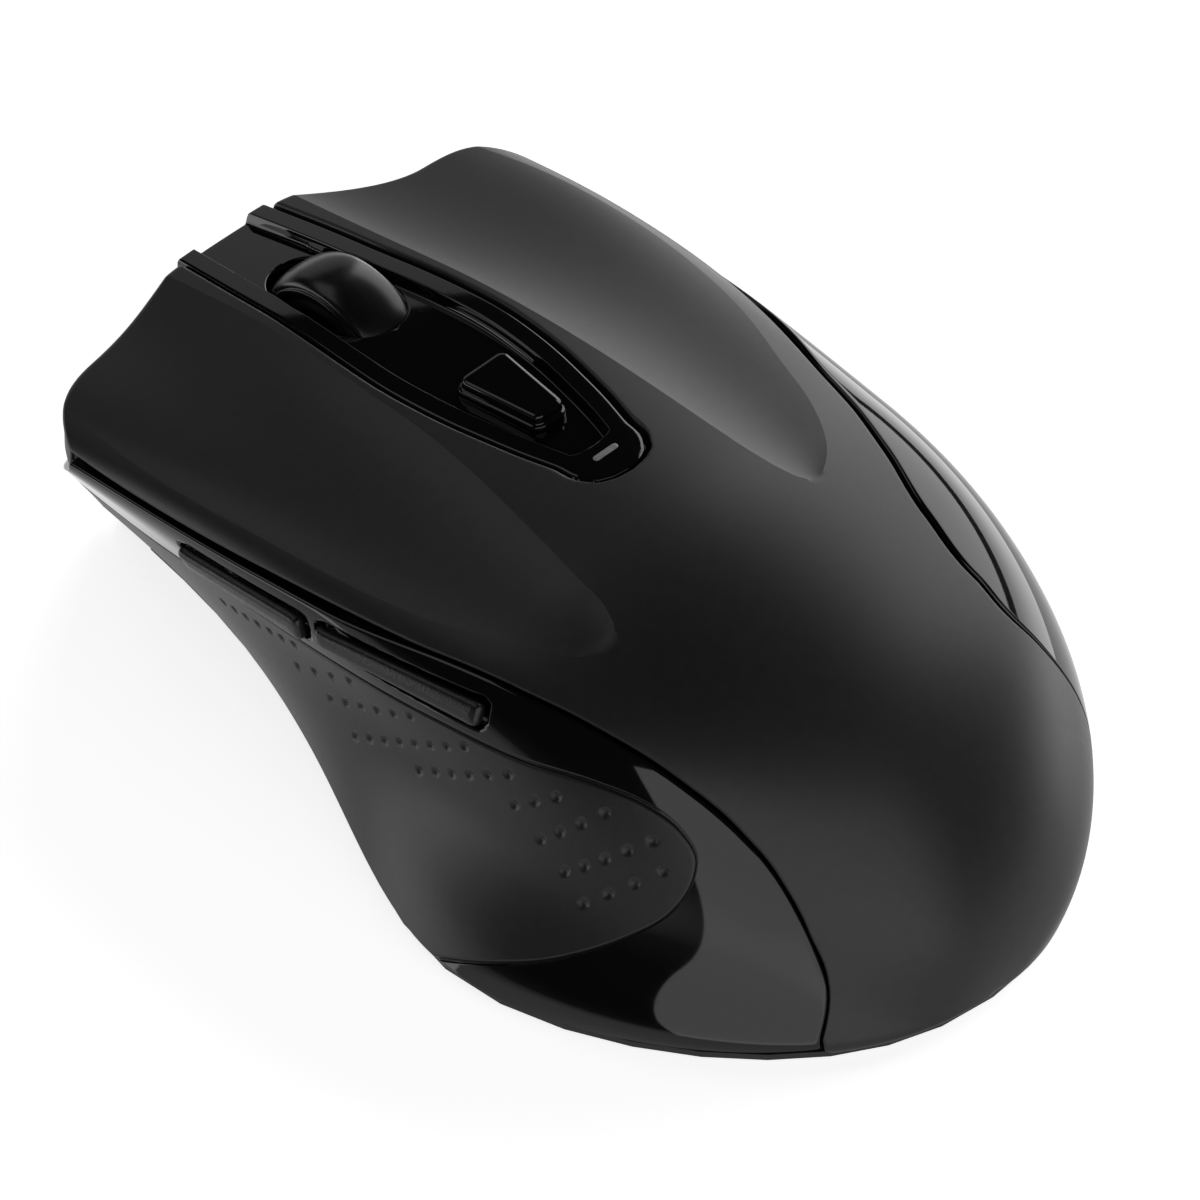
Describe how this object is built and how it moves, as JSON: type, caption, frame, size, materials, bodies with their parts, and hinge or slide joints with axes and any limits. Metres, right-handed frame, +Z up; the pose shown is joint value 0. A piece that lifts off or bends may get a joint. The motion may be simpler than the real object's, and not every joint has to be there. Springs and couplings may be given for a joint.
{
  "type": "computer mouse",
  "caption": "Right-handed wireless optical mouse with sculpted buttons, a rubber scroll wheel, a thumb grip, side keys and a battery bay underneath.",
  "frame": {"origin": "middle of the bounding box in plan, on the table under the glide feet", "axes": "+Z up, +Y towards the nose, +X to the mouse's right-hand side"},
  "size_m": [0.0696, 0.1066, 0.0347],
  "materials": {
    "soft_touch": "soft-touch matte black",
    "gloss_black": "piano gloss black",
    "smoked_window": "grey translucent, satin",
    "grip_rubber": "satin, dimpled",
    "key_plastic": "satin black",
    "base_plastic": "fine spark-eroded grain",
    "glide": "slick dark glide film",
    "bright_steel": "nickel plated",
    "battery_sleeve": "printed shrink sleeve",
    "circuit_board": "green solder mask",
    "inner_plastic": "moulded, plain",
    "clear_lens": "clear moulded lens",
    "wheel_rubber": "satin rubber"
  },
  "bodies": {
    "case": {"top_cover": "soft_touch", "center_console": "gloss_black", "led_window": "smoked_window", "left_side_panel": "gloss_black", "right_side_panel": "gloss_black", "thumb_grip": "grip_rubber", "base_shell": "base_plastic", "foot_front_left": "glide", "foot_front_right": "glide", "foot_rear_left": "glide", "foot_rear_right": "glide", "case_screw_front_left": "bright_steel", "case_screw_front_right": "bright_steel", "case_screw_rear_left": "bright_steel", "case_screw_rear_right": "bright_steel", "battery": "battery_sleeve", "battery_contact": "bright_steel", "battery_spring": "bright_steel", "main_board": "circuit_board", "left_switch": "inner_plastic", "right_switch": "inner_plastic", "wheel_switch": "inner_plastic", "sensor_chip": "inner_plastic", "sensor_lens": "clear_lens", "power_switch_body": "bright_steel", "side_board": "circuit_board", "forward_switch": "inner_plastic", "back_switch": "inner_plastic", "dpi_switch_board": "circuit_board", "dpi_switch": "inner_plastic", "status_led": "smoked_window", "inner_frame": "inner_plastic"},
    "left_button": {"left_button": "soft_touch"},
    "right_button": {"right_button": "soft_touch"},
    "dpi_button": {"dpi_button": "gloss_black"},
    "forward_button": {"forward_button": "key_plastic"},
    "back_button": {"back_button": "key_plastic"},
    "wheel_carrier": {"wheel_carrier": "inner_plastic", "wheel_encoder": "bright_steel"},
    "wheel": {"wheel_tyre": "wheel_rubber", "wheel_hub": "inner_plastic", "wheel_axle": "bright_steel"},
    "power_switch": {"power_switch": "key_plastic"},
    "battery_door": {"battery_door": "base_plastic"},
    "receiver": {"receiver_shell": "base_plastic", "receiver_plug": "bright_steel"}
  },
  "joints": [
    {"name": "left_click", "type": "hinge", "parent": "case", "child": "left_button", "pos_m": [0, -0.0193, 0.033], "axis": [1, 0, 0], "range_deg": [-0.3, 0], "stiffness_Nm_per_rad": 1.2},
    {"name": "right_click", "type": "hinge", "parent": "case", "child": "right_button", "pos_m": [0, -0.0193, 0.033], "axis": [1, 0, 0], "range_deg": [-0.3, 0], "stiffness_Nm_per_rad": 1.2},
    {"name": "dpi_press", "type": "slide", "parent": "case", "child": "dpi_button", "axis": [0, 0, -1], "range_m": [0, 0.0004], "stiffness_N_per_m": 400, "springref_m": -0.0002},
    {"name": "forward_press", "type": "slide", "parent": "case", "child": "forward_button", "axis": [1, 0, 0], "range_m": [0, 0.0005], "stiffness_N_per_m": 400},
    {"name": "back_press", "type": "slide", "parent": "case", "child": "back_button", "axis": [1, 0, 0], "range_m": [0, 0.0005], "stiffness_N_per_m": 400},
    {"name": "wheel_press", "type": "slide", "parent": "case", "child": "wheel_carrier", "axis": [0, 0, -1], "range_m": [0, 0.0005], "stiffness_N_per_m": 600, "springref_m": -0.0002},
    {"name": "wheel_spin", "type": "hinge", "parent": "wheel_carrier", "child": "wheel", "pos_m": [0.00047, 0.0353, 0.0217], "axis": [1, 0, 0], "continuous": true},
    {"name": "power_slide", "type": "slide", "parent": "case", "child": "power_switch", "axis": [0, -1, 0], "range_m": [0, 0.003]},
    {"name": "door_slide", "type": "slide", "parent": "case", "child": "battery_door", "axis": [0, -1, 0], "range_m": [0, 0.003]},
    {"name": "receiver_pull", "type": "slide", "parent": "case", "child": "receiver", "axis": [0, 0, -1], "range_m": [0, 0.022]}
  ]
}
